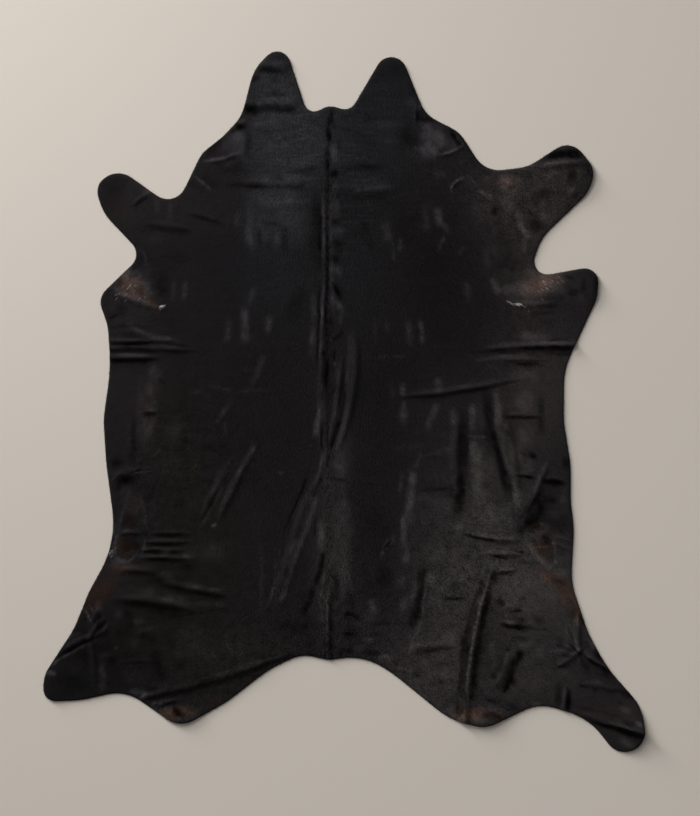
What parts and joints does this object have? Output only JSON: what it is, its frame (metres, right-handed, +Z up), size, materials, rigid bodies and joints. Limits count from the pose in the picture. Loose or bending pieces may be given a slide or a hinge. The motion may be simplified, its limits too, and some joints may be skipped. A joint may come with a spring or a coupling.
{
  "type": "hair-on cowhide rug",
  "caption": "Black hair-on cowhide rug with the outline of the whole skin, lying flat with low folds and slightly curled edges.",
  "frame": {"origin": "on the floor, at the middle of the rug's bounding box", "axes": "+Z up, +Y along the spine from the tail to the neck, +X to the right seen from above"},
  "size_m": [1.8032, 2.0994, 0.0204],
  "materials": {
    "coat": "short black hair with a soft sheen"
  },
  "bodies": {
    "root": {"hide": "coat"}
  },
  "joints": []
}
